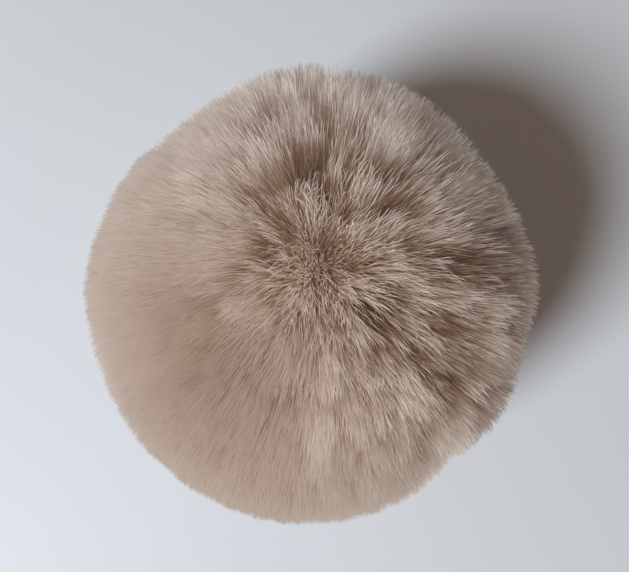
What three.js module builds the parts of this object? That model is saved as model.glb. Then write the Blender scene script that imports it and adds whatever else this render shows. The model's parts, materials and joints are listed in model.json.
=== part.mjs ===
import * as THREE from "three";
import { ConvexHull } from "three/addons/math/ConvexHull.js";

// A round pom pom of long fur pile, resting on z = 0. Millimetres, +Z up.
// Four-sided tapered locks stand all round a small ball of backing, in rings about the crown on top.
// They lean away from the crown. Those underneath are shorter and end level on the ground.

const SIDE_RADIUS = 53.5; // from the middle of the pom pom to the ends of the locks, sideways
const CROWN_RADIUS = 52; // the same, straight up
const MIDDLE_HEIGHT = 48; // the middle of the pom pom above the ground
const BACKING_RADIUS = 28; // from the middle to the roots of the locks

const DEGREE = Math.PI / 180;
const RINGS = 14; // rings of locks between the crown and the foot lock, which stands in the middle underneath
const CROWN_HALF = 2 * DEGREE; // half the angle left open at the crown
const FOOT_HALF = 12 * DEGREE; // half the angle that the foot lock takes up
const RING_STEP = (Math.PI - CROWN_HALF - FOOT_HALF) / RINGS;
const RING_TURN = 0.618; // how far each ring is turned from the one above, as a share of a lock

const LEAN = 24 * DEGREE; // how far the locks lean away from the crown
const GROUP_LEAN = 3.5 * DEGREE; // how far groups of locks lean towards each other
const LENGTH_SPREAD = 0.03; // the locks differ in length by this share of the radius, up and down
const END_WANDER = 0.35; // how far off the middle of its lock an end may be, as a share of half the lock

// A lock's sections: how far out along the lock each one is, and how much of the lock's room it fills.
const SECTIONS = [
  { out: 0, fill: 0.72 },
  { out: 0.3, fill: 0.84 },
  { out: 0.62, fill: 0.88 },
  { out: 0.91, fill: 0.68 },
];
const GROUND_SECTION = { out: 1, fill: 0.76 }; // where a lock ends level on the ground

// Where the outline is fuller or leaner than a circle. Azimuth from +X towards +Y and reach in degrees.
const OUTLINE = [
  { azimuth: 0, reach: 12, change: 0.015 },
  { azimuth: 37, reach: 17, change: -0.025 },
  { azimuth: 96, reach: 13, change: 0.025 },
  { azimuth: 130, reach: 13, change: -0.03 },
  { azimuth: 181, reach: 10, change: 0.015 },
  { azimuth: 262, reach: 32, change: 0.02 },
  { azimuth: 309, reach: 11, change: -0.035 },
];

// Where the pile parts and the locks are shorter. Angle from the crown, azimuth and reach in degrees.
const PARTINGS = [
  { fromCrown: 27, azimuth: 94, reach: 7, change: -0.2 },
  { fromCrown: 16, azimuth: 144, reach: 7, change: -0.12 },
  { fromCrown: 14, azimuth: 20, reach: 6, change: -0.12 },
];

// A repeatable random number from -1 to 1.
let seed = 7;
function random() {
  seed = (seed * 16807) % 2147483647;
  return (2 * seed) / 2147483647 - 1;
}

function toVector(fromCrown, azimuth) {
  return new THREE.Vector3(
    Math.sin(fromCrown) * Math.cos(azimuth),
    Math.sin(fromCrown) * Math.sin(azimuth),
    Math.cos(fromCrown),
  );
}

// The direction from the middle of the pom pom to a point of a lock, which leans more the further out it is.
function leaning({ fromCrown, azimuth }, out) {
  const bend = out * out;
  const lean = LEAN * Math.sin(fromCrown) * Math.cos(0.8 * fromCrown);
  const group = GROUP_LEAN * Math.sin(fromCrown);
  return toVector(
    fromCrown + bend * (lean + group * Math.sin(5 * azimuth + 4 * fromCrown)),
    azimuth + bend * group * Math.sin(3 * azimuth - 7 * fromCrown),
  );
}

function fadingOut(distance, reach) {
  return Math.exp(-((distance / reach) ** 2));
}

// From the middle of the pom pom to the surface that the ends of the locks make together.
function surfaceRadius(direction) {
  const sideways = Math.hypot(direction.x, direction.y);
  const azimuth = Math.atan2(direction.y, direction.x) / DEGREE;
  const polar = direction.z > 0 ? CROWN_RADIUS : SIDE_RADIUS;
  let radius = THREE.MathUtils.lerp(polar, SIDE_RADIUS, sideways);
  for (const lobe of OUTLINE) {
    const apart = THREE.MathUtils.euclideanModulo(azimuth - lobe.azimuth + 180, 360) - 180;
    radius *= 1 + lobe.change * sideways * fadingOut(apart, lobe.reach);
  }
  for (const parting of PARTINGS) {
    const deepest = toVector(parting.fromCrown * DEGREE, parting.azimuth * DEGREE);
    radius *= 1 + parting.change * fadingOut(direction.angleTo(deepest) / DEGREE, parting.reach);
  }
  return radius;
}

// The room of each lock: its middle, and half its size as angles.
const foot = { fromCrown: Math.PI, azimuth: 0, half: FOOT_HALF, halfAzimuth: 0 };
const locks = [foot];
for (let ring = 0; ring < RINGS; ring++) {
  const fromCrown = CROWN_HALF + (ring + 0.5) * RING_STEP;
  const count = Math.ceil((2 * Math.PI * Math.sin(fromCrown)) / RING_STEP);
  const halfAzimuth = Math.PI / count;
  for (let i = 0; i < count; i++) {
    const azimuth = 2 * halfAzimuth * (i + ring * RING_TURN);
    locks.push({ fromCrown, azimuth, half: RING_STEP / 2, halfAzimuth });
  }
}

// The corners of a lock's section, anticlockwise as seen from outside.
function cornersOf(lock, fill) {
  const { fromCrown, azimuth } = lock;
  const half = lock.half * fill;
  if (lock === foot) {
    return [315, 225, 135, 45].map((turn) => ({ fromCrown: fromCrown - half, azimuth: turn * DEGREE }));
  }
  const halfAzimuth = lock.halfAzimuth * fill;
  return [
    { fromCrown: fromCrown + half, azimuth: azimuth - halfAzimuth },
    { fromCrown: fromCrown + half, azimuth: azimuth + halfAzimuth },
    { fromCrown: fromCrown - half, azimuth: azimuth + halfAzimuth },
    { fromCrown: fromCrown - half, azimuth: azimuth - halfAzimuth },
  ];
}

// A point of the pile, at a distance from the middle of the pom pom, in the part's own frame.
function place(direction, distance) {
  return direction.clone().multiplyScalar(distance).add(new THREE.Vector3(0, 0, MIDDLE_HEIGHT));
}

const positions = [];
function addTriangle(a, b, c) {
  positions.push(...a, ...b, ...c);
}

const roots = [];
const lockOf = new Map(); // which lock each root corner belongs to
for (const lock of locks) {
  const middle = leaning(lock, 1);
  const natural = surfaceRadius(middle) * (1 + LENGTH_SPREAD * random());
  const toGround = MIDDLE_HEIGHT / Math.max(-middle.z, 0.01);
  const radius = Math.min(natural, toGround);
  const sections = SECTIONS.map(({ out, fill }) => {
    const distance = THREE.MathUtils.lerp(BACKING_RADIUS, radius, out);
    return cornersOf(lock, fill).map((corner) => place(leaning(corner, out), distance));
  });

  let end;
  if (toGround <= natural) {
    const { out, fill } = GROUND_SECTION;
    end = cornersOf(lock, fill).map((corner) => {
      const direction = leaning(corner, out);
      return place(direction, MIDDLE_HEIGHT / -direction.z);
    });
    sections.push(end);
    addTriangle(end[0], end[1], end[2]);
    addTriangle(end[0], end[2], end[3]);
  } else {
    const endAngles = {
      fromCrown: lock.fromCrown + END_WANDER * lock.half * random(),
      azimuth: lock.azimuth + END_WANDER * lock.halfAzimuth * random(),
    };
    const tip = place(leaning(endAngles, 1), radius);
    end = sections.at(-1);
    for (let i = 0; i < 4; i++) {
      addTriangle(end[i], end[(i + 1) % 4], tip);
    }
  }

  for (let s = 1; s < sections.length; s++) {
    const [inner, outer] = [sections[s - 1], sections[s]];
    for (let i = 0; i < 4; i++) {
      const next = (i + 1) % 4;
      addTriangle(inner[i], inner[next], outer[next]);
      addTriangle(inner[i], outer[next], outer[i]);
    }
  }

  for (const corner of sections[0]) {
    roots.push(corner);
    lockOf.set(corner, lock);
  }
}

// The backing fills the space between the roots. It has no face where a lock stands on it.
const backing = new ConvexHull().setFromPoints(roots);
for (const face of backing.faces) {
  const corners = [face.getEdge(0), face.getEdge(1), face.getEdge(2)].map((edge) => edge.head().point);
  const [a, b, c] = corners.map((corner) => lockOf.get(corner));
  if (a !== b || b !== c) {
    addTriangle(...corners);
  }
}

const geometry = new THREE.BufferGeometry();
geometry.setAttribute("position", new THREE.Float32BufferAttribute(positions, 3));
geometry.computeBoundingBox();
const middle = geometry.boundingBox.getCenter(new THREE.Vector3());
geometry.translate(-middle.x, -middle.y, 0);
geometry.computeVertexNormals();

const pile = new THREE.MeshStandardMaterial({ color: 0xa8917f, roughness: 1, metalness: 0 });
const pompom = new THREE.Mesh(geometry, pile);
pompom.name = "pompom";

const group = new THREE.Group();
group.add(pompom);

export default group;
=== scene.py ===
"""A long-pile faux-fur pom pom: strands of pile in wisps, tufts and locks round a small backing ball."""

import json
import math

import bpy
import numpy as np
from bpy.props import FloatProperty, FloatVectorProperty, IntProperty, PointerProperty
from bpy.types import Operator, Panel, PropertyGroup
from mathutils import Matrix, Vector
from mathutils.kdtree import KDTree

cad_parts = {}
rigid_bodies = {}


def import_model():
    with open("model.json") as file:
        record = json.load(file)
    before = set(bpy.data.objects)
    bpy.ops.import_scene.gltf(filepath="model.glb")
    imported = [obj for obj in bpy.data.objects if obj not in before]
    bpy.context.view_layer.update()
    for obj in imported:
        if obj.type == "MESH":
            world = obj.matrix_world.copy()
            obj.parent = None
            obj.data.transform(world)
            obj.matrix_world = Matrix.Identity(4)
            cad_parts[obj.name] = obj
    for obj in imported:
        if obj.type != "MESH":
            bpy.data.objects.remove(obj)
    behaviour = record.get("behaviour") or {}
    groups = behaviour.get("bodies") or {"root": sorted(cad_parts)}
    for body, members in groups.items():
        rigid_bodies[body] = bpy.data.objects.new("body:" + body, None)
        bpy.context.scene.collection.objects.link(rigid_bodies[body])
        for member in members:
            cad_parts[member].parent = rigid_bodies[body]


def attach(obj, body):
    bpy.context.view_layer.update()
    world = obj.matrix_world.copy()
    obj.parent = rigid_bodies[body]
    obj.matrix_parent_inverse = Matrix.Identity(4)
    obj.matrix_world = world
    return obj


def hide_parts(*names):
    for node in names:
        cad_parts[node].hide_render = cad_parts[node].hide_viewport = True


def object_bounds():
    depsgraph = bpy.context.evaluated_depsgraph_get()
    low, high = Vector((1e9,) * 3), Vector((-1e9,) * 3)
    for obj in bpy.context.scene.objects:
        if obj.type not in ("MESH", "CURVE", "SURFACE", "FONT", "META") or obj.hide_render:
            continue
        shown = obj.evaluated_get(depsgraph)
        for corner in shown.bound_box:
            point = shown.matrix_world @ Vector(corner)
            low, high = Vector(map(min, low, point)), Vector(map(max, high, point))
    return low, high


bl_info = {
    "name": "Long-pile pom pom",
    "version": (1, 0, 0),
    "blender": (4, 5, 0),
    "location": "3D View > Sidebar > Pom pom",
    "description": "Makes a faux-fur pom pom with its backing, pile, floor, lights and camera",
    "category": "Object",
}

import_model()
CAD_LOW, CAD_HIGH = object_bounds()
WIDTH = CAD_HIGH.x - CAD_LOW.x
HEIGHT = CAD_HIGH.z
MILLIMETRE = 0.001
GOLDEN_ANGLE = math.pi * (3 - math.sqrt(5))
# The pile's map: how light the strand is, across, and how deep in the pile, along. Both carry painted light
# and shade as well as the pile's own colour.
BAKE_MAP = "OFBake"


# ---------------------------------------------------------------- settings


class PomPomSizes(PropertyGroup):
    """Sizes of the pom pom, in metres."""

    middle_height: FloatProperty(
        name="Middle height",
        description="Height of the middle of the ball above the floor",
        default=0.481 * HEIGHT,
        unit="LENGTH",
    )
    side_radius: FloatProperty(
        name="Side radius",
        description="From the middle to the tips of the pile, sideways",
        default=0.503 * WIDTH,
        unit="LENGTH",
    )
    crown_radius: FloatProperty(
        name="Crown radius",
        description="From the middle to the tips of the pile, straight up",
        default=0.535 * HEIGHT,
        unit="LENGTH",
    )
    backing_radius: FloatProperty(
        name="Backing radius",
        description="From the middle to the roots of the pile",
        default=0.254 * WIDTH,
        unit="LENGTH",
    )
    strand_width: FloatProperty(
        name="Strand width",
        description="Width of a strand of pile where it is thickest",
        default=0.24 * MILLIMETRE,
        unit="LENGTH",
    )


class PomPomPile(PropertyGroup):
    """How the pile is laid."""

    strands: IntProperty(
        name="Strands", description="Number of strands over the whole ball", default=164000
    )
    wisps: IntProperty(
        name="Wisps", description="Number of small bundles that the strands gather in", default=17000
    )
    tufts: IntProperty(
        name="Tufts", description="Number of bundles that the wisps gather in", default=4600
    )
    locks: IntProperty(
        name="Locks", description="Number of large bundles that the tufts lean with", default=620
    )
    lean: FloatProperty(
        name="Lean", description="How far the pile leans away from the crown", default=0.34
    )
    seed: IntProperty(name="Seed", description="Start of the random numbers", default=11)


class PomPomColours(PropertyGroup):
    """Colours of the pile from root to tip, and of the floor, in linear light. The dark roots and middle are
    partly the pile's own colour and partly painted shade deep in the pile.
    """

    # The root and middle colours are partly the pile's own darker roots and partly painted shade deep in the
    # pile.
    root: FloatVectorProperty(
        name="Roots", description="Pile at its roots", subtype="COLOR", default=(0.10, 0.045, 0.023)
    )
    middle: FloatVectorProperty(
        name="Middle", description="Pile half-way up", subtype="COLOR", default=(0.275, 0.165, 0.105)
    )
    tip: FloatVectorProperty(
        name="Tips", description="Pile at its tips", subtype="COLOR", default=(0.65, 0.55, 0.48)
    )
    # The backing's near-black colour is partly painted shade deep in the pile.
    backing: FloatVectorProperty(
        name="Backing", description="Knitted backing", subtype="COLOR", default=(0.035, 0.020, 0.014)
    )
    floor: FloatVectorProperty(
        name="Floor", description="Plain pale floor", subtype="COLOR", default=(0.79, 0.80, 0.845)
    )


# ---------------------------------------------------------------- materials


def new_material(name, roughness, specular):
    """An empty node material with one Principled shader, and that shader."""
    material = bpy.data.materials.new(name)
    material.use_nodes = True
    shader = material.node_tree.nodes["Principled BSDF"]
    shader.inputs["Roughness"].default_value = roughness
    shader.inputs["Specular IOR Level"].default_value = specular
    return material, shader


def shade(colour, factors):
    """The colour with each channel made lighter or darker, and opaque."""
    return tuple(min(1.0, channel * factor) for channel, factor in zip(colour, factors)) + (1.0,)


def colour_socket(sockets, name):
    """The colour socket of a Mix node, which has sockets of the same name for other kinds of value."""
    return next(socket for socket in sockets if socket.name == name and socket.type == "RGBA")


# How much lighter or darker the darkest and the lightest strands are than the pile's ramp colours. The tone
# between them is partly the strands' own and partly painted light and shade.
DARKEST_STRANDS = (0.52, 0.42, 0.35)
LIGHTEST_STRANDS = (1.38, 1.46, 1.54)


def add_pile_ramp(nodes, colours, factors):
    """A colour ramp from the roots of the pile to its tips."""
    ramp_node = nodes.new("ShaderNodeValToRGB")
    ramp = ramp_node.color_ramp
    ramp.interpolation = "LINEAR"
    stops = ((0.0, colours.root), (0.55, colours.root), (0.82, colours.middle), (0.99, colours.tip))
    while len(ramp.elements) < len(stops):
        ramp.elements.new(1.0)
    for element, (position, colour) in zip(ramp.elements, stops):
        element.position = position
        element.color = shade(colour, factors)
    return ramp_node


def pile_material(colours):
    """Acrylic pile: dark roots and light tips along the strand, and darker and lighter strands. The darkening
    towards the roots is partly painted shade deep in the pile, and the strands' tone is partly painted light
    and shade on tufts and in partings.
    """
    material, shader = new_material("fur pile", roughness=0.62, specular=0.28)
    shader.inputs["Sheen Weight"].default_value = 0.4
    shader.inputs["Sheen Roughness"].default_value = 0.45
    shader.inputs["Sheen Tint"].default_value = (1.0, 0.95, 0.90, 1.0)
    nodes, links = material.node_tree.nodes, material.node_tree.links
    strand_map = nodes.new("ShaderNodeUVMap")
    strand_map.uv_map = BAKE_MAP
    split = nodes.new("ShaderNodeSeparateXYZ")
    links.new(strand_map.outputs["UV"], split.inputs["Vector"])
    dark = add_pile_ramp(nodes, colours, DARKEST_STRANDS)
    light = add_pile_ramp(nodes, colours, LIGHTEST_STRANDS)
    blend = nodes.new("ShaderNodeMix")
    blend.data_type = "RGBA"
    links.new(split.outputs["X"], blend.inputs["Factor"])
    for ramp, socket in ((dark, "A"), (light, "B")):
        links.new(split.outputs["Y"], ramp.inputs["Fac"])
        links.new(ramp.outputs["Color"], colour_socket(blend.inputs, socket))
    links.new(colour_socket(blend.outputs, "Result"), shader.inputs["Base Color"])
    return material


def mottle(material, shader, colour, scale, darkest, lightest):
    """Give the shader the colour, darker in some places and lighter in others, by a noise."""
    nodes, links = material.node_tree.nodes, material.node_tree.links
    place = nodes.new("ShaderNodeTexCoord")
    noise = nodes.new("ShaderNodeTexNoise")
    noise.inputs["Scale"].default_value = scale
    links.new(place.outputs["Object"], noise.inputs["Vector"])
    ramp = nodes.new("ShaderNodeValToRGB")
    for element, factor in zip(ramp.color_ramp.elements, (darkest, lightest)):
        element.color = shade(colour, (factor,) * len(colour))
    links.new(noise.outputs["Fac"], ramp.inputs["Fac"])
    links.new(ramp.outputs["Color"], shader.inputs["Base Color"])


def backing_material(colours):
    """Knitted backing with a fine grain, its near-black colour partly painted shade deep in the pile."""
    material, shader = new_material("knit backing", roughness=0.9, specular=0.1)
    mottle(material, shader, colours.backing, scale=900, darkest=0.7, lightest=1.5)
    return material


def floor_material(colours):
    """A plain pale board with hardly any mottling."""
    material, shader = new_material("pale floor", roughness=0.55, specular=0.25)
    mottle(material, shader, colours.floor, scale=14, darkest=0.975, lightest=1.02)
    return material


# ---------------------------------------------------------------- the lie of the pile

# Where the outline is fuller or leaner than a circle. Azimuth from +X towards +Y and reach in degrees.
OUTLINE = (
    {"azimuth": 0, "reach": 12, "change": 0.015},
    {"azimuth": 37, "reach": 17, "change": -0.025},
    {"azimuth": 96, "reach": 13, "change": 0.025},
    {"azimuth": 130, "reach": 13, "change": -0.03},
    {"azimuth": 181, "reach": 10, "change": 0.015},
    {"azimuth": 262, "reach": 32, "change": 0.02},
    {"azimuth": 309, "reach": 11, "change": -0.035},
)

# Where the pile parts, stands up, or is lighter or darker. The place is an angle from straight up and an
# azimuth, and a spot reaches along the lie of the pile and across it, all in degrees. Rise is a share of the
# radius, and tone is a share of the step from the darkest strands to the lightest. The tones are partly the
# pile's own patches and partly painted light and shade: partings are darkened as painted shade, the rim on
# the side away from the light is darkened as painted shade, and the light tufts are partly painted light.
SPOTS = (
    # Partings: their darker tone is painted shade in the hollows, with the roots' own brown.
    {"place": (22, 96), "along": 3.5, "across": 5.8, "rise": -0.29, "tone": -0.30},
    {"place": (9, 130), "along": 2.6, "across": 5.0, "rise": -0.08, "tone": -0.40},
    {"place": (5.2, 44), "along": 2.4, "across": 3.0, "rise": -0.08, "tone": -0.35},
    {"place": (9.8, 354), "along": 2.4, "across": 1.8, "rise": -0.09, "tone": -0.30},
    {"place": (12.5, 52), "along": 2.6, "across": 1.6, "rise": -0.06, "tone": -0.30},
    {"place": (12.3, 307), "along": 1.8, "across": 1.4, "rise": -0.08, "tone": -0.25},
    {"place": (23.8, 210), "along": 2.2, "across": 1.3, "rise": -0.05, "tone": -0.15},
    {"place": (23.6, 355), "along": 4.0, "across": 2.2, "rise": -0.03, "tone": -0.35},
    {"place": (36, 9), "along": 4.5, "across": 4.0, "rise": -0.03, "tone": -0.35},
    {"place": (45, 318), "along": 10.0, "across": 4.0, "rise": -0.03, "tone": -0.50},
    {"place": (44, 335), "along": 5.0, "across": 3.0, "rise": -0.02, "tone": -0.40},
    {"place": (25.5, 322), "along": 4.0, "across": 2.0, "rise": -0.03, "tone": -0.35},
    {"place": (72, 342), "along": 26.0, "across": 14.0, "rise": -0.035, "tone": 0.0},
    # Painted shade: the rim on the side away from the light is darkened.
    {"place": (75, 18), "along": 20.0, "across": 22.0, "rise": -0.025, "tone": -0.20},
    # Painted shade: dims the rim where the low sun from behind lights the tips.
    {"place": (66, 118), "along": 14.0, "across": 14.0, "rise": 0.0, "tone": -0.22},
    {"place": (34, 207), "along": 10.0, "across": 14.0, "rise": 0.0, "tone": -0.12},
    {"place": (22, 36), "along": 4.0, "across": 3.5, "rise": -0.03, "tone": -0.22},
    {"place": (42, 84), "along": 5.0, "across": 3.5, "rise": 0.01, "tone": 0.40},
    {"place": (40, 101), "along": 5.0, "across": 5.0, "rise": -0.01, "tone": -0.20},
    {"place": (43, 62), "along": 6.0, "across": 6.0, "rise": -0.01, "tone": -0.30},
    # Painted shade on the rim away from the light.
    {"place": (60, 32), "along": 16.0, "across": 34.0, "rise": 0.0, "tone": -0.22},
    {"place": (34, 113), "along": 7.0, "across": 7.0, "rise": 0.0, "tone": 0.10},
    {"place": (32, 130), "along": 12.0, "across": 12.0, "rise": 0.0, "tone": 0.15},
    {"place": (24, 218), "along": 12.0, "across": 16.0, "rise": 0.0, "tone": -0.18},
    {"place": (38, 228), "along": 22.0, "across": 30.0, "rise": 0.0, "tone": -0.22},
    {"place": (12, 98), "along": 4.5, "across": 7.0, "rise": 0.035, "tone": 0.95},
    {"place": (8.5, 152), "along": 2.5, "across": 2.2, "rise": 0.015, "tone": 0.30},
    {"place": (19.5, 50), "along": 4.5, "across": 3.0, "rise": 0.02, "tone": 0.40},
    {"place": (26.5, 74), "along": 7.0, "across": 6.5, "rise": 0.01, "tone": 0.50},
    {"place": (24, 112), "along": 5.0, "across": 5.0, "rise": 0.01, "tone": 0.25},
    {"place": (8.7, 279), "along": 4.0, "across": 5.5, "rise": 0.015, "tone": 0.35},
    {"place": (18, 310), "along": 6.0, "across": 4.0, "rise": 0.015, "tone": 0.40},
    {"place": (18.5, 353), "along": 3.0, "across": 2.5, "rise": 0.01, "tone": 0.35},
    {"place": (14, 24), "along": 5.0, "across": 4.0, "rise": 0.01, "tone": 0.55},
    {"place": (13.5, 328), "along": 4.5, "across": 5.0, "rise": 0.015, "tone": 0.65},
    {"place": (8.6, 249), "along": 4.0, "across": 5.0, "rise": 0.01, "tone": 0.20},
    {"place": (35, 357), "along": 5.0, "across": 3.0, "rise": 0.01, "tone": 0.40},
    {"place": (39, 311), "along": 5.0, "across": 3.5, "rise": 0.01, "tone": 0.35},
    {"place": (38, 344), "along": 14.0, "across": 4.0, "rise": 0.015, "tone": 0.60},
    {"place": (27, 336), "along": 6.0, "across": 3.5, "rise": 0.01, "tone": 0.35},
    {"place": (48, 330), "along": 6.0, "across": 4.0, "rise": 0.01, "tone": 0.35},
    {"place": (34, 301), "along": 7.0, "across": 3.5, "rise": 0.01, "tone": 0.25},
    {"place": (28.5, 20), "along": 4.5, "across": 3.5, "rise": -0.02, "tone": -0.35},
    {"place": (36, 274), "along": 16.0, "across": 4.0, "rise": 0.0, "tone": 0.25},
    {"place": (4, 30), "along": 26.0, "across": 26.0, "rise": 0.0, "tone": 0.30},
)

# How quickly a spot fades at its edge. One is a bell shape, and more has a flatter top and a steeper edge.
SPOT_EDGE = 1.2

# How close the pile grows, by the angle from straight up in degrees. Where it grows closer, its strands are
# thinner, by this power.
GROWTH_ANGLES = (0, 25, 45, 95, 120, 180)
GROWTH_SHARES = (2.8, 1.9, 1.2, 1.0, 0.55, 0.5)
GROWTH_STEPS = 2001
THINNING = -0.6

# How far the pile leans, by the angle from the crown in degrees. Crisp pile stands more upright by a share.
LEAN_ANGLES = (0, 8, 20, 35, 65, 100, 140, 180)
LEAN_SHARES = (0, 0.45, 0.78, 0.94, 1.0, 0.5, 0.05, 0)
CRISP_UPRIGHT = 0.55

# Where two values stand for how crisp the pile is, the first is for velvety pile and the second for crisp.

# How unevenly the bundles of each size and the strands are spaced, as a share of the spacing, and how far
# each drifts its own way, as a share of the radius. Within a reach of the crown, in degrees, they drift more.
LAY = {
    "locks": {"jitter": 0.35, "drift": 0.045},
    "tufts": {"jitter": 0.35, "drift": 0.06},
    "wisps": {"jitter": 0.35, "drift": 0.04},
    "strands": {"jitter": 0.5, "drift": 0.028},
}
DRIFT_SHARES = (0.4, 1.0)
CROWN_DRIFT, CROWN_DRIFT_REACH = 0.8, 16

# Waves that push the pile about together, and how much they do by the angle from the crown in degrees.
GUST_SIZE = 0.06
GUST_WAVES = 9
GUST_FREQUENCY = 5.0
GUST_FREQUENCY_RANGE = (0.6, 1.4)
GUST_STATES = 1 << 30
GUST_BY_ANGLE = ((3, 25, 70, 100), (0, 1, 1, 0.5))

# How the cells of larger bundles are drawn out along the lie: the widest ring round the crown, how soon the
# rings widen to it, and the length of a radian along the lie.
FLOW_RING = 0.5
FLOW_FADE = 0.25
FLOW_LENGTH = 0.25
CELL_LENGTH = 1.6

# How much followers are drawn to their leader in velvety pile, and how much more in crisp pile: the same for
# all tufts, and at random between two values for wisps and strands. The bend grows with a power of the
# length, and the gathering is done at a share of it.
PULL_VELVETY = 0.1
PULL_TUFTS = 0.3
PULL_WISPS = (0.4, 0.85)
PULL_STRANDS = (0.125, 0.5)
BEND_POWER = 1.5
GATHERED_BY = 0.8

# How much the bundles differ in height, as shares of the radius: how far the outer end of a larger bundle
# stands above its middle, how much each size differs at random, the limits of both, how much of it shows, and
# how much shorter single strands may be.
LOCK_SLOPE = 0.05
TUFT_SLOPE = 0.018
RISE_SPREAD = {"locks": 0.022, "tufts": 0.028, "wisps": 0.010, "streaks": 0.016}
RISE_LIMITS = (-0.10, 0.035)
RISE_SHARES = (0.1, 1.0)
SHORTER = (0.05, 0.09)
LENGTH_LIMITS = (0.7, 1.04)

# How much strands and bundles differ in tone at random, where 1 is from the darkest strands to the lightest,
# and how much of that shows by the angle from the crown in degrees. The differences are much larger in crisp
# pile, where they stand partly for painted light and shade on tufts where the light rakes across.
TONE_SPREAD = {"strands": 0.11, "wisps": 0.16, "tufts": 0.22, "locks": 0.13, "streaks": 0.32}
FINE_BY_ANGLE = ((0, 15, 40), (0.4, 0.6, 1.1))
COARSE_BY_ANGLE = ((0, 15, 40), (1.3, 1.2, 1.0))
STREAKS_BY_ANGLE = ((0, 10, 25), (0.3, 0.7, 1.0))
FINE_SHARES = (0.05, 1.0)
COARSE_SHARES = (0.06, 1.0)
TONE_MIDDLE = 0.5
TONE_LIMITS = (0.03, 0.97)

# Where a strand bends, as a share of its length, and how much further out in crisp pile.
KNEE_RANGE = (0.82, 0.95)
KNEE_CRISP = 0.03

# The depths set the colour from root to tip, which is partly the pile's own darker roots and partly painted
# shade deep in the pile. Where the pile is velvety, all its depths are near the middle one, so it has little
# painted shade;
# where it is crisp they spread wider, painting deep shade between tufts. Lighter patches are shaded less.
MIDDLE_DEPTH = 0.92
DEPTH_SHADE_SHARES = (0.15, 1.7)
PATCH_SHADE = 0.6
PATCH_LIMITS = (-0.6, 1)
SHALLOWEST = 0.999

# How wide the light and dark streaks are round the crown, and how long, in degrees.
STREAK_TURN = 4.5
STREAK_LENGTH = 12.0

# The corners of a strand at its bend, how round it is shaded, and half its width in the map.
CORNERS = 3
ROUNDNESS = (0.2, 0.5)
MAP_HALF_WIDTH = 0.006
ALMOST_NOTHING = 1e-9


def unit(vectors):
    return vectors / np.linalg.norm(vectors, axis=-1, keepdims=True)


def direction(from_upright, azimuth):
    """The unit vector at an angle from straight up and an azimuth, in degrees."""
    polar, turn = math.radians(from_upright), math.radians(azimuth)
    return np.array(
        (math.sin(polar) * math.cos(turn), math.sin(polar) * math.sin(turn), math.cos(polar))
    )


UPRIGHT = direction(0, 0)
CROWN = direction(13, 67)
# How crisp the pile is, by how much a strand points towards the most brushed-up place, on the side away from
# the light. Crispness also sets how much painted light and shade the pile's colours carry.
BRUSHED_UP_AWAY_FROM_LIGHT = direction(60, 25)
CRISP_TOWARDS = (-0.37, 0.09, 0.32, 0.51, 0.70)
CRISP_SHARES = (0.0, 0.06, 0.28, 0.58, 0.96)


def crispness_at(directions):
    """How tightly the pile gathers: near 1 where it is crisp, beside the crown, and 0 where it is velvety."""
    return np.interp(directions @ BRUSHED_UP_AWAY_FROM_LIGHT, CRISP_TOWARDS, CRISP_SHARES)


def between(share, low, high):
    """From the first value where the share is 0 to the second where it is 1."""
    return low + (high - low) * share


def degrees_from(directions, centre):
    return np.degrees(np.arccos(np.clip(directions @ centre, -1, 1)))


def spread_over_ball(count, random, jitter):
    """Directions on a golden spiral round the ball, closer where the pile grows closer, each moved a bit."""
    height = np.linspace(1, -1, GROWTH_STEPS)
    growth = np.interp(degrees_of_height(height), GROWTH_ANGLES, GROWTH_SHARES)
    grown = np.concatenate(((0.0,), np.cumsum(0.5 * (growth[1:] + growth[:-1]))))
    step = np.arange(count) + 0.5
    height = np.interp(step / count, grown / grown[-1], height)
    growth = np.interp(degrees_of_height(height), GROWTH_ANGLES, GROWTH_SHARES)
    sideways = np.sqrt(1 - height**2)
    turn = step * GOLDEN_ANGLE
    directions = np.stack((sideways * np.cos(turn), sideways * np.sin(turn), height), axis=1)
    spacing = np.sqrt(4 * math.pi / count / growth)[:, None]
    return unit(directions + jitter * spacing * random.normal(size=directions.shape))


def degrees_of_height(height):
    """The angle from straight up at a height on a ball of radius 1."""
    return np.degrees(np.arccos(height))


def nearest(points, centres):
    """For each point, which of the centres is nearest."""
    tree = KDTree(len(centres))
    for index, centre in enumerate(centres):
        tree.insert(centre, index)
    tree.balance()
    return np.array([tree.find(point)[1] for point in points])


def streaks(tips, random):
    """Which of the long narrow streaks out from the crown each tip lies in, and how many there are."""
    side = unit(np.cross((0.0, 1.0, 0.0), CROWN))
    turn = np.arctan2(tips @ np.cross(CROWN, side), tips @ side)

    def stretched(turn, from_crown):
        ring = math.degrees(1) / STREAK_TURN
        return np.stack((ring * np.cos(turn), ring * np.sin(turn), from_crown / STREAK_LENGTH), axis=1)

    count = round(360 / STREAK_TURN * 180 / STREAK_LENGTH)
    centres = stretched(random.uniform(-math.pi, math.pi, count), random.uniform(0, 180, count))
    return nearest(stretched(turn, degrees_from(tips, CROWN)), centres), count


def gust(directions, state):
    """A smooth field of small vectors that changes over the ball, the same for the same state."""
    random = np.random.default_rng(state)
    field = np.zeros_like(directions)
    for _ in range(GUST_WAVES):
        along = unit(random.normal(size=3)) * GUST_FREQUENCY * random.uniform(*GUST_FREQUENCY_RANGE)
        push = unit(random.normal(size=3))
        field += push * np.sin(directions @ along + random.uniform(0, 2 * math.pi))[:, None]
    return GUST_SIZE * field / math.sqrt(GUST_WAVES)


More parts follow.
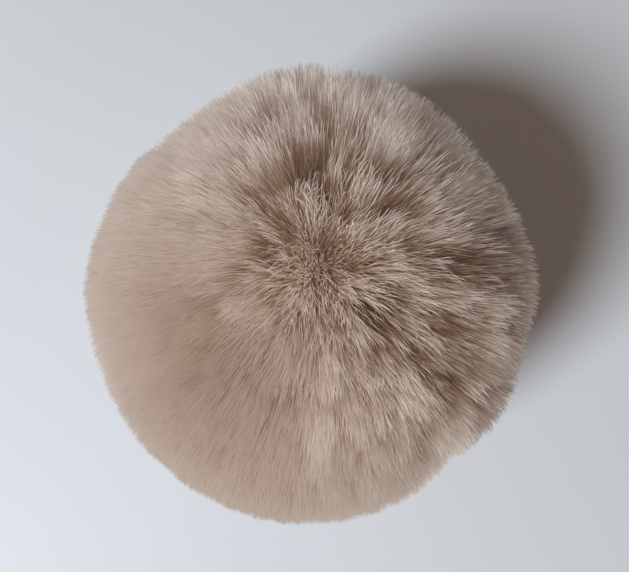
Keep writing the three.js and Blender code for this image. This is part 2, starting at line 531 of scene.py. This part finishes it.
def full_radius(directions, sizes):
    """From the middle of the ball to its even outer surface."""
    sideways = np.hypot(directions[:, 0], directions[:, 1])
    azimuth = np.degrees(np.arctan2(directions[:, 1], directions[:, 0]))
    polar = np.where(directions[:, 2] > 0, sizes.crown_radius, sizes.side_radius)
    radius = polar + (sizes.side_radius - polar) * sideways
    for lobe in OUTLINE:
        apart = (azimuth - lobe["azimuth"] + 180) % 360 - 180
        radius *= 1 + lobe["change"] * sideways * np.exp(-((apart / lobe["reach"]) ** 2))
    return radius


def away_from_crown(directions):
    """The way in which the pile leans at each direction, and the way across it."""
    away = unit(directions * (directions @ CROWN)[:, None] - CROWN + ALMOST_NOTHING)
    return away, np.cross(directions, away)


def spots(directions):
    """How much the spots raise and lighten the pile in each direction, the lightening partly painted light
    and shade.
    """
    rise, tone = np.zeros(len(directions)), np.zeros(len(directions))
    for spot in SPOTS:
        centre = direction(*spot["place"])
        away, across = away_from_crown(centre[None, :])
        along_share = np.degrees(directions @ away[0]) / spot["along"]
        across_share = np.degrees(directions @ across[0]) / spot["across"]
        share = np.exp(-((along_share**2 + across_share**2) ** SPOT_EDGE)) * (directions @ centre > 0)
        rise += spot["rise"] * share
        tone += spot["tone"] * share
    return rise, tone


def flow_space(roots):
    """Places in a space where bundles that are near each other make cells drawn out along the lie."""
    height = roots @ CROWN
    sideways = np.sqrt(np.maximum(0.0, 1 - height**2))
    ring = FLOW_RING * (1 - np.exp(-sideways / FLOW_FADE)) / np.maximum(sideways, ALMOST_NOTHING)
    along = FLOW_LENGTH * np.arccos(height)
    return (roots - height[:, None] * CROWN) * ring[:, None] + along[:, None] * CROWN


class Bundles:
    """Bundles of one size, or the strands themselves: their roots, how they bend, and whom they follow."""

    def __init__(self, size, pile, random, gust_state):
        self.count = getattr(pile, size)
        self.roots = spread_over_ball(self.count, random, LAY[size]["jitter"])
        self.leader = self.followed = self.pull = None
        from_crown = degrees_from(self.roots, CROWN)
        crispness = crispness_at(self.roots)
        away, _ = away_from_crown(self.roots)
        strength = pile.lean * np.interp(from_crown, LEAN_ANGLES, LEAN_SHARES)
        strength *= 1 - CRISP_UPRIGHT * crispness
        drift = LAY[size]["drift"] * (1 + CROWN_DRIFT * np.exp(-((from_crown / CROWN_DRIFT_REACH) ** 2)))
        drift *= between(crispness, *DRIFT_SHARES)
        self.drift = drift[:, None] * random.normal(size=self.roots.shape)
        pushed = gust(self.roots, gust_state) * np.interp(from_crown, *GUST_BY_ANGLE)[:, None]
        self.bend = away * strength[:, None] + (self.drift + pushed)
        self.crispness = crispness_at(unit(self.roots + self.bend))

    def follow(self, leader, drawn_out):
        """Lean with the nearest bundle of the next size, in cells that may be drawn out along the lie."""
        self.leader = leader
        if drawn_out:
            self.followed = nearest(flow_space(self.roots), flow_space(leader.roots))
        else:
            self.followed = nearest(self.roots, leader.roots)
        self.drift += leader.drift[self.followed]
        self.bend += leader.drift[self.followed]

    def place_in_leader(self):
        """From -1 at the inner end of the leader's cell to 1 at its outer end."""
        away, _ = away_from_crown(self.leader.roots)
        apart = self.roots - self.leader.roots[self.followed]
        half_length = CELL_LENGTH / 2 * math.sqrt(4 * math.pi / self.leader.count)
        return np.clip((apart * away[self.followed]).sum(axis=1) / half_length, -1, 1)

    def at(self, out):
        """Directions from the middle of the ball at a share of the length."""
        own = unit(self.roots + (out**BEND_POWER)[:, None] * self.bend)
        if self.leader is None:
            return own
        led = self.leader.at(self.out_of_leader(out))[self.followed]
        gather = self.pull * np.minimum(1.0, out / GATHERED_BY) ** 2
        return unit(own + gather[:, None] * (led - own))

    def tips(self):
        return self.at(np.ones(self.count))

    def out_of_leader(self, out):
        """The leaders' own shares of their length: the mean of their followers' shares."""
        total = np.bincount(self.followed, weights=out, minlength=self.leader.count)
        number = np.bincount(self.followed, minlength=self.leader.count)
        return np.where(number > 0, total / np.maximum(number, 1), 1.0)


class Pile:
    """Every strand with its wisp, tuft and lock, and the streaks that run out from the crown."""

    def __init__(self, pile):
        self.random = np.random.default_rng(pile.seed)
        gust_state = self.random.integers(GUST_STATES)
        locks, tufts, wisps, strands = (Bundles(size, pile, self.random, gust_state) for size in LAY)
        tufts.follow(locks, drawn_out=True)
        wisps.follow(tufts, drawn_out=True)
        strands.follow(wisps, drawn_out=False)
        tufts.pull = PULL_VELVETY + PULL_TUFTS * tufts.crispness
        wisps.pull = PULL_VELVETY + self.random.uniform(*PULL_WISPS, pile.wisps) * wisps.crispness
        pull_in_wisp = self.random.uniform(*PULL_STRANDS, pile.wisps) * wisps.crispness
        strands.pull = pull_in_wisp[strands.followed]
        self.tufts, self.wisps, self.strands = tufts, wisps, strands

        self.lock_of_tuft = tufts.followed
        self.tuft_of_wisp = wisps.followed
        self.wisp_of_strand = strands.followed
        self.tuft_of_strand = self.tuft_of_wisp[self.wisp_of_strand]
        self.streak_random = np.random.default_rng(pile.seed + 1)
        self.streak_of_wisp, streak_count = streaks(wisps.tips(), self.streak_random)
        self.counts = {
            "locks": pile.locks,
            "tufts": pile.tufts,
            "wisps": pile.wisps,
            "strands": pile.strands,
            "streaks": streak_count,
        }

    def differ(self, size, spreads):
        """A random difference for each bundle, strand or streak of a size."""
        random = self.streak_random if size == "streaks" else self.random
        return random.normal(0, spreads[size], self.counts[size])

    def lengths(self, tips):
        """The length of each strand from the middle of the ball, as a share of the full radius."""
        tuft_rise = LOCK_SLOPE * self.tufts.place_in_leader()
        tuft_rise += self.differ("locks", RISE_SPREAD)[self.lock_of_tuft]
        tuft_rise += self.differ("tufts", RISE_SPREAD)
        wisp_rise = tuft_rise[self.tuft_of_wisp] + TUFT_SLOPE * self.wisps.place_in_leader()
        wisp_rise += self.differ("wisps", RISE_SPREAD)
        wisp_rise += self.differ("streaks", RISE_SPREAD)[self.streak_of_wisp]
        rise = np.clip(wisp_rise, *RISE_LIMITS)[self.wisp_of_strand]
        length = 1 + between(self.strands.crispness, *RISE_SHARES) * rise + spots(tips)[0]
        shorter = between(self.strands.crispness, *SHORTER)
        return np.clip(length - shorter * self.random.random(len(tips)) ** 2, *LENGTH_LIMITS)

    def tones(self, tips):
        """How light the patch is that each strand grows in, and how light each strand is within its patch.
        Much of the difference, in crisp pile and at the spots, is painted light and shade.
        """
        from_crown = degrees_from(tips, CROWN)
        crispness = self.strands.crispness
        fine = self.differ("strands", TONE_SPREAD) + self.differ("wisps", TONE_SPREAD)[self.wisp_of_strand]
        # Painted light and shade: the tone differences are much larger in crisp pile.
        fine *= np.interp(from_crown, *FINE_BY_ANGLE) * between(crispness, *FINE_SHARES)
        coarse = self.differ("tufts", TONE_SPREAD) + self.differ("locks", TONE_SPREAD)[self.lock_of_tuft]
        coarse = coarse[self.tuft_of_strand]
        coarse *= np.interp(from_crown, *COARSE_BY_ANGLE) * between(crispness, *COARSE_SHARES)
        streaky = self.differ("streaks", TONE_SPREAD)[self.streak_of_wisp[self.wisp_of_strand]] * crispness
        streaky *= np.interp(from_crown, *STREAKS_BY_ANGLE)
        return coarse + streaky + spots(self.tufts.tips())[1][self.tuft_of_strand], fine


def ball_middle(sizes):
    return np.array((0.0, 0.0, sizes.middle_height))


def pile_paths(sizes, settings):
    """Root, bend and tip of every strand, how deep each lies, and how light, wide and round the strand is."""
    pile = Pile(settings)
    strands, crispness = pile.strands, pile.strands.crispness
    tips = strands.tips()
    full = full_radius(tips, sizes)
    downward = np.maximum(-tips[:, 2], ALMOST_NOTHING)
    reach = np.minimum(full * pile.lengths(tips), (sizes.middle_height - sizes.strand_width) / downward)

    knee = pile.random.uniform(*KNEE_RANGE, strands.count) + KNEE_CRISP * crispness
    points, depths = [], []
    for out, ways in ((0, strands.roots), (knee, strands.at(knee)), (1, tips)):
        radius = sizes.backing_radius + (reach - sizes.backing_radius) * out
        points.append(ball_middle(sizes) + ways * radius[:, None])
        depths.append((radius - sizes.backing_radius) / (full - sizes.backing_radius))

    patch, fine = pile.tones(tips)
    # Painted shade: in crisp pile the depths spread wider, so the colour darkens between tufts, less under
    # lighter patches.
    shading = between(crispness, *DEPTH_SHADE_SHARES) * (1 - PATCH_SHADE * np.clip(patch, *PATCH_LIMITS))
    depths = MIDDLE_DEPTH + (np.stack(depths, axis=1) - MIDDLE_DEPTH) * shading[:, None]
    growth = np.interp(degrees_from(strands.roots, UPRIGHT), GROWTH_ANGLES, GROWTH_SHARES)
    return {
        "points": np.stack(points, axis=1),
        "depths": np.clip(depths, 0, SHALLOWEST),
        "tone": np.clip(TONE_MIDDLE + fine + patch, *TONE_LIMITS),
        "widths": sizes.strand_width * np.minimum(1.0, growth**THINNING),
        "roundness": between(crispness, *ROUNDNESS),
    }


def strand_mesh(name, middle, points, depths, tone, widths, roundness):
    """One mesh of closed strands, each with a pointed root, a bend with three corners and a pointed tip.

    They shade as the ball does, with a share of each strand's own roundness."""
    count = len(points)
    tangent = unit(points[:, 2] - points[:, 0])
    turn = np.arange(count)[:, None] * GOLDEN_ANGLE
    reference = np.concatenate((np.cos(turn), np.sin(turn), np.zeros_like(turn)), axis=1)
    across = unit(np.cross(tangent, reference))
    upright = np.cross(tangent, across)
    vertices, outward = [points[:, 0]], unit(points - middle)
    normals = [outward[:, 0]]
    for corner in range(CORNERS):
        angle = 2 * math.pi * corner / CORNERS
        offset = math.cos(angle) * across + math.sin(angle) * upright
        vertices.append(points[:, 1] + widths[:, None] / math.sqrt(3) * offset)
        normals.append(unit(outward[:, 1] + roundness[:, None] * offset))
    normals = np.stack(normals + [outward[:, 2]], axis=1)
    vertices = np.stack(vertices + [points[:, 2]], axis=1)
    vertices[..., 2] = np.maximum(vertices[..., 2], 0)
    root, tip = 0, CORNERS + 1
    faces = []
    for corner in range(CORNERS):
        this, following = 1 + corner, 1 + (corner + 1) % CORNERS
        faces += ((root, following, this), (this, following, tip))

    loops = np.array(faces).ravel()
    first = np.arange(count)[:, None] * (CORNERS + 2)
    all_loops = (loops + first).ravel().astype(np.int32)
    mesh = bpy.data.meshes.new(name)
    mesh.vertices.add(count * (CORNERS + 2))
    mesh.vertices.foreach_set("co", vertices.ravel())
    mesh.loops.add(len(all_loops))
    mesh.loops.foreach_set("vertex_index", all_loops)
    mesh.polygons.add(count * len(faces))
    mesh.polygons.foreach_set("loop_start", np.arange(count * len(faces), dtype=np.int32) * 3)

    across_map = tone[:, None] + MAP_HALF_WIDTH * np.array((0, -1, 0, 1, 0))
    along_map = np.stack((depths[:, 0],) + (depths[:, 1],) * CORNERS + (depths[:, 2],), axis=1)
    uv = np.stack((across_map.ravel(), along_map.ravel()), axis=1)[all_loops]
    mesh.uv_layers.new(name=BAKE_MAP).data.foreach_set("uv", uv.ravel())
    mesh.update(calc_edges=True)
    mesh.validate()
    mesh.shade_smooth()
    mesh.normals_split_custom_set_from_vertices(normals.reshape(-1, 3))
    return mesh


# ---------------------------------------------------------------- operators


class POMPOM_OT_backing(Operator):
    """Make the small stuffed ball of knitted backing that the pile is rooted in"""

    bl_idname = "pompom.backing"
    bl_label = "Backing"

    OVERLAP = 0.2 * MILLIMETRE
    UNEVENNESS = 0.15 * MILLIMETRE
    SEED = 3

    def execute(self, context):
        sizes = context.scene.pompom_sizes
        bpy.ops.object.select_all(action="DESELECT")
        bpy.ops.mesh.primitive_ico_sphere_add(
            subdivisions=5,
            radius=sizes.backing_radius + self.OVERLAP,
            location=(0, 0, sizes.middle_height),
        )
        backing = context.object
        backing.name = backing.data.name = "backing"
        bpy.ops.object.mode_set(mode="EDIT")
        bpy.ops.mesh.select_all(action="SELECT")
        bpy.ops.transform.vertex_random(offset=self.UNEVENNESS, uniform=1.0, seed=self.SEED)
        bpy.ops.object.mode_set(mode="OBJECT")
        bpy.ops.object.shade_smooth()
        bpy.ops.object.transform_apply(location=True, rotation=True, scale=True)
        backing.data.materials.append(backing_material(context.scene.pompom_colours))
        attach(backing, "root")
        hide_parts("pompom")
        return {"FINISHED"}


class POMPOM_OT_pile(Operator):
    """Grow the pile, in six bands from the crown down to the foot"""

    bl_idname = "pompom.pile"
    bl_label = "Pile"

    BANDS = ("pile_crown", "pile_shoulder", "pile_side", "pile_waist", "pile_skirt", "pile_foot")

    def execute(self, context):
        scene = context.scene
        sizes = scene.pompom_sizes
        paths = pile_paths(sizes, scene.pompom_pile)
        material = pile_material(scene.pompom_colours)
        from_top = np.argsort(-paths["points"][:, 0, 2])
        for name, chosen in zip(self.BANDS, np.array_split(from_top, len(self.BANDS))):
            in_band = {key: values[chosen] for key, values in paths.items()}
            mesh = strand_mesh(name, ball_middle(sizes), **in_band)
            mesh.materials.append(material)
            band = bpy.data.objects.new(name, mesh)
            scene.collection.objects.link(band)
            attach(band, "root")
            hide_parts("pompom")
        return {"FINISHED"}


class POMPOM_OT_stage(Operator):
    """Make the floor, the lights and the camera"""

    bl_idname = "pompom.stage"
    bl_label = "Stage"

    FLOOR_SIZE = 3
    CAMERA_DISTANCE = 1.455 * WIDTH
    CAMERA_ELEVATION = 82
    CAMERA_LENS = 35.1
    AIM = Vector((0.9, 2.35, 0)) * MILLIMETRE
    # The soft box lights the floor. The suns light the pile alone, and those without shadows stand for
    # the light that the pile passes on inside itself. Azimuth, elevation and spread are in degrees.
    SOFT_BOX = {"azimuth": 216, "elevation": 45, "distance": 1.15, "size": 0.385, "power": 13.6}
    SUNS = (
        {"name": "sun_key", "azimuth": 215, "elevation": 45, "spread": 12, "power": 1.0},
        {"name": "sun_tent", "azimuth": 0, "elevation": 90, "spread": 170, "power": 0.64},
        {"name": "sun_low", "azimuth": 215, "elevation": 45, "spread": 0, "power": 0.88},
        {"name": "sun_before", "azimuth": 300, "elevation": 8, "spread": 0, "power": 0.88},
        {"name": "sun_behind", "azimuth": 120, "elevation": 8, "spread": 0, "power": 1.48, "cool": True},
        {"name": "sun_left", "azimuth": 195, "elevation": 8, "spread": 0, "power": 0.42, "cool": True},
    )
    SOFT_LIGHT = (0.87, 0.955, 1.0)
    WARM_LIGHT = (1.0, 0.985, 0.97)
    COOL_LIGHT = (0.87, 0.935, 1.0)
    ROOM_COLOUR = (1.0, 0.76, 0.58)
    ROOM_STRENGTH = 0.15

    def execute(self, context):
        self.make_floor(context)
        self.make_lights(context)
        self.make_camera(context)
        return {"FINISHED"}

    def make_floor(self, context):
        bpy.ops.object.select_all(action="DESELECT")
        bpy.ops.mesh.primitive_plane_add(size=self.FLOOR_SIZE)
        floor = context.object
        floor.name = "floor"
        floor.data.materials.append(floor_material(context.scene.pompom_colours))

    def add_light(self, context, name, kind, place, receivers):
        """A light that points at the middle of the ball and lights only the receivers."""
        data = bpy.data.lights.new(name, kind)
        data.energy = place["power"]
        light = bpy.data.objects.new(name, data)
        towards = Vector(direction(90 - place["elevation"], place["azimuth"]))
        middle = Vector((0, 0, context.scene.pompom_sizes.middle_height))
        light.location = middle + towards * self.SOFT_BOX["distance"]
        light.rotation_euler = towards.to_track_quat("Z", "Y").to_euler()
        light.light_linking.receiver_collection = receivers
        context.scene.collection.objects.link(light)
        return data

    def make_lights(self, context):
        scene = context.scene
        on_floor = bpy.data.collections.new("lit floor")
        on_pile = bpy.data.collections.new("lit pile")
        for piece in scene.objects:
            if piece.name == "floor":
                on_floor.objects.link(piece)
            elif piece.name == "backing" or piece.name in POMPOM_OT_pile.BANDS:
                on_pile.objects.link(piece)
        soft_box = self.add_light(context, "soft_box", "AREA", self.SOFT_BOX, on_floor)
        soft_box.shape = "DISK"
        soft_box.size = self.SOFT_BOX["size"]
        soft_box.color = self.SOFT_LIGHT
        for place in self.SUNS:
            sun = self.add_light(context, place["name"], "SUN", place, on_pile)
            sun.angle = math.radians(place["spread"])
            sun.use_shadow = place["spread"] > 0
            sun.color = self.COOL_LIGHT if "cool" in place else self.WARM_LIGHT

        world = bpy.data.worlds.new("room")
        world.use_nodes = True
        background = world.node_tree.nodes["Background"]
        background.inputs["Color"].default_value = self.ROOM_COLOUR + (1,)
        background.inputs["Strength"].default_value = self.ROOM_STRENGTH
        scene.world = world
        scene.view_settings.view_transform = "Standard"

    def make_camera(self, context):
        scene = context.scene
        data = bpy.data.cameras.new("camera")
        data.lens = self.CAMERA_LENS
        data.clip_start = 0.01
        camera = bpy.data.objects.new("camera", data)
        back = Vector(direction(90 - self.CAMERA_ELEVATION, 270))
        right = Vector((1, 0, 0))
        up = back.cross(right)
        turn = Matrix((right, up, back)).transposed()
        middle = Vector((0, 0, scene.pompom_sizes.middle_height))
        camera.location = middle + turn @ self.AIM + back * self.CAMERA_DISTANCE
        camera.rotation_euler = turn.to_euler()
        scene.collection.objects.link(camera)
        scene.camera = camera


class POMPOM_PT_panel(Panel):
    """Settings and steps of the pom pom"""

    bl_idname = "POMPOM_PT_panel"
    bl_label = "Pom pom"
    bl_space_type = "VIEW_3D"
    bl_region_type = "UI"
    bl_category = "Pom pom"

    def draw(self, context):
        for settings in (
            context.scene.pompom_sizes,
            context.scene.pompom_pile,
            context.scene.pompom_colours,
        ):
            box = self.layout.box()
            for name in settings.__annotations__:
                box.prop(settings, name)
        for operator in OPERATORS:
            self.layout.operator(operator.bl_idname)


OPERATORS = (POMPOM_OT_backing, POMPOM_OT_pile, POMPOM_OT_stage)
SETTINGS = {
    "pompom_sizes": PomPomSizes,
    "pompom_pile": PomPomPile,
    "pompom_colours": PomPomColours,
}


def register():
    for name, settings in SETTINGS.items():
        bpy.utils.register_class(settings)
        setattr(bpy.types.Scene, name, PointerProperty(type=settings))
    for operator in OPERATORS:
        bpy.utils.register_class(operator)
    bpy.utils.register_class(POMPOM_PT_panel)


def unregister():
    bpy.utils.unregister_class(POMPOM_PT_panel)
    for operator in reversed(OPERATORS):
        bpy.utils.unregister_class(operator)
    for name, settings in SETTINGS.items():
        delattr(bpy.types.Scene, name)
        bpy.utils.unregister_class(settings)


def main():
    register()
    bpy.ops.pompom.backing()
    bpy.ops.pompom.pile()
    bpy.ops.pompom.stage()


if __name__ == "__main__":
    main()
